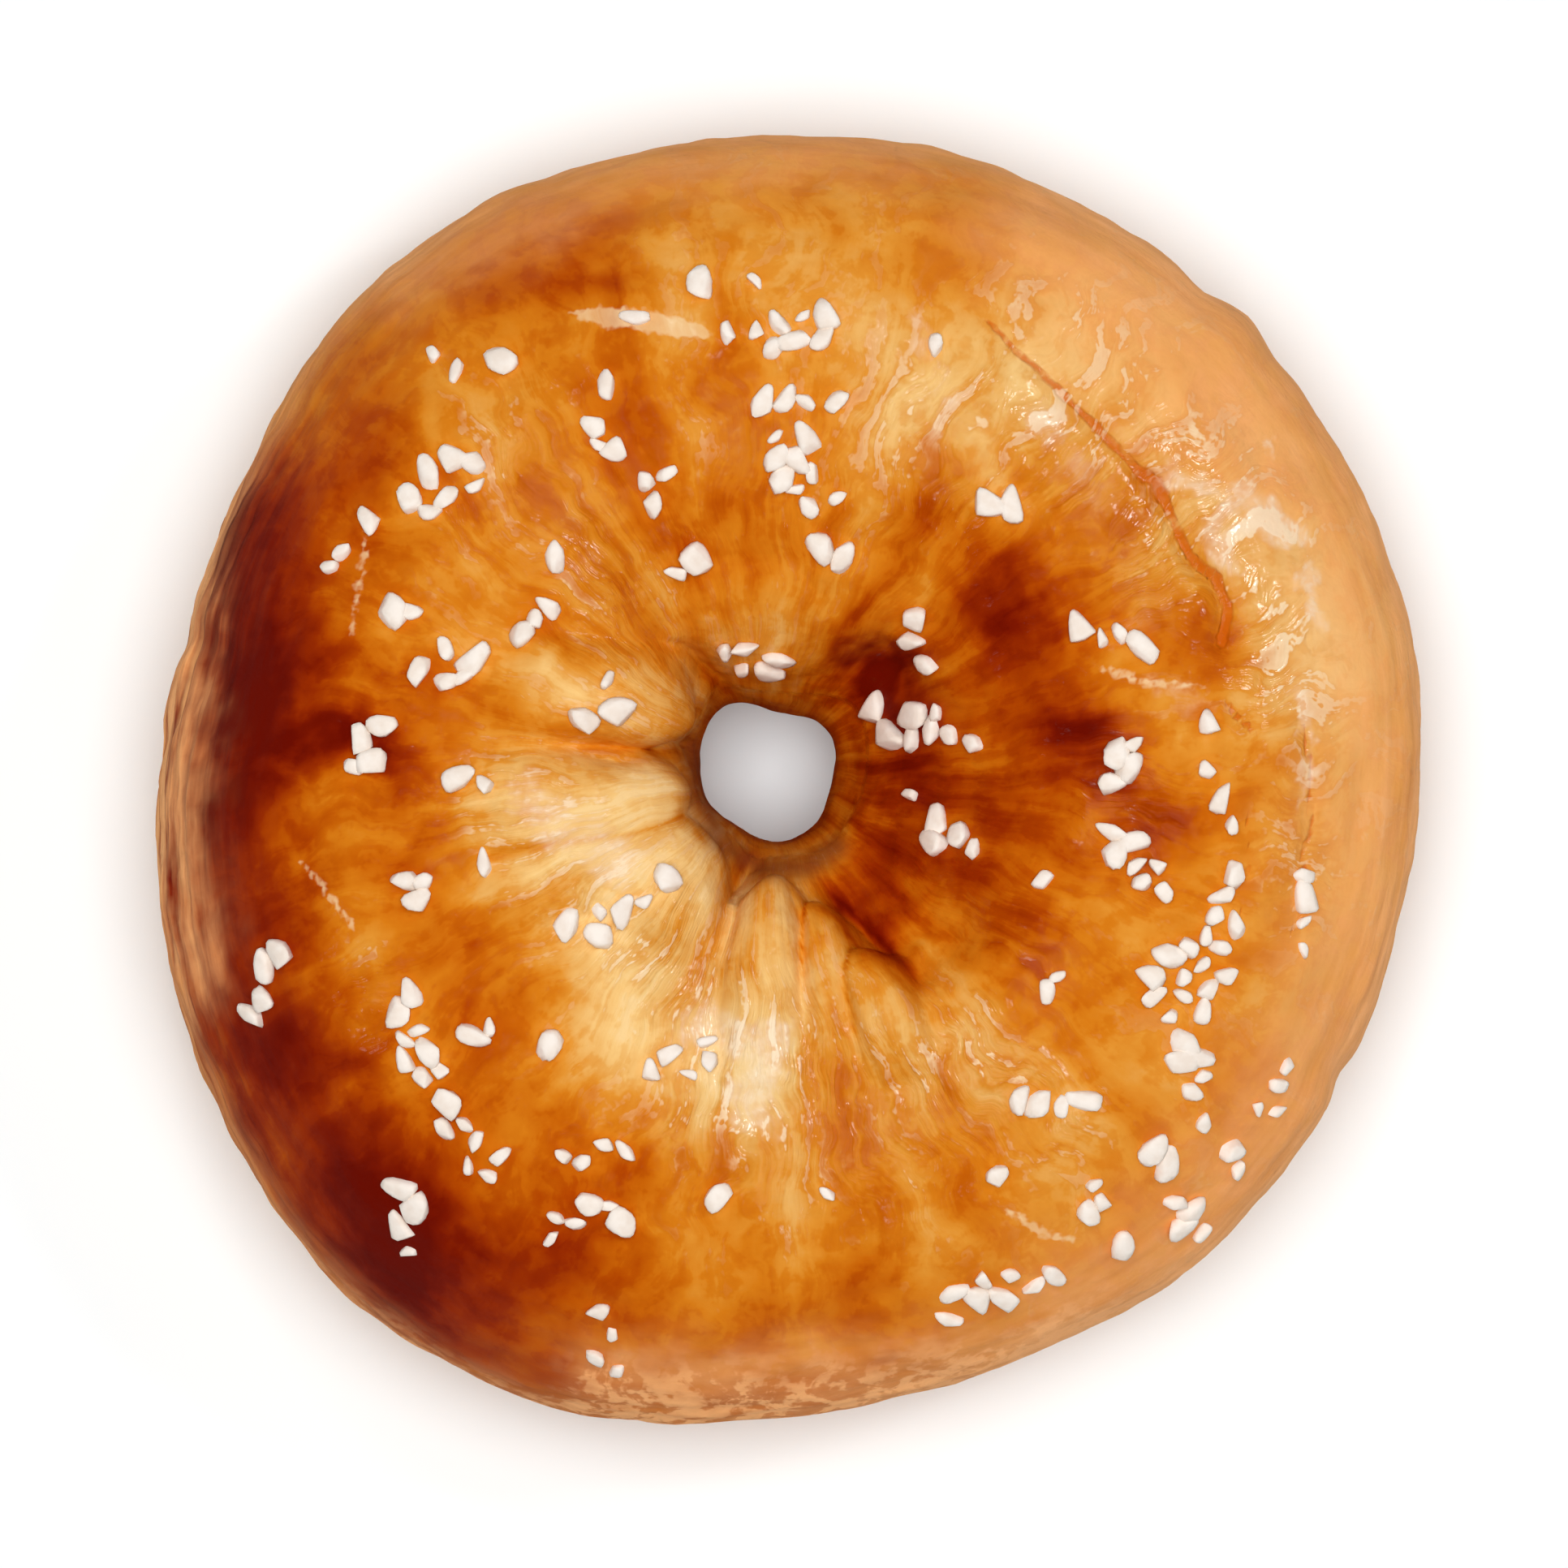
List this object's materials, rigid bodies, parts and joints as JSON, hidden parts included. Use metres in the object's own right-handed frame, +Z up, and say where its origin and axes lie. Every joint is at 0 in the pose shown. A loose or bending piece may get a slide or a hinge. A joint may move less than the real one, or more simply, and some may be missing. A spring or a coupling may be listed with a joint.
{
  "type": "bagel",
  "caption": "Glossy baked dough ring with a small puckered hole, a flat underside, one torn seam and coarse salt grains on its crown.",
  "frame": {"origin": "on the surface that the bagel rests on, under the middle of its outline", "axes": "+Z up through the ring; +Y along its slightly longer way across, towards the side with the pale torn blister; +X towards the lighter rim"},
  "size_m": [0.1089, 0.111, 0.0421],
  "materials": {
    "crust": "glossy baked crust, browned in patches",
    "salt": "off-white coarse salt, slightly translucent"
  },
  "bodies": {
    "root": {"bagel": "crust"}
  },
  "joints": []
}
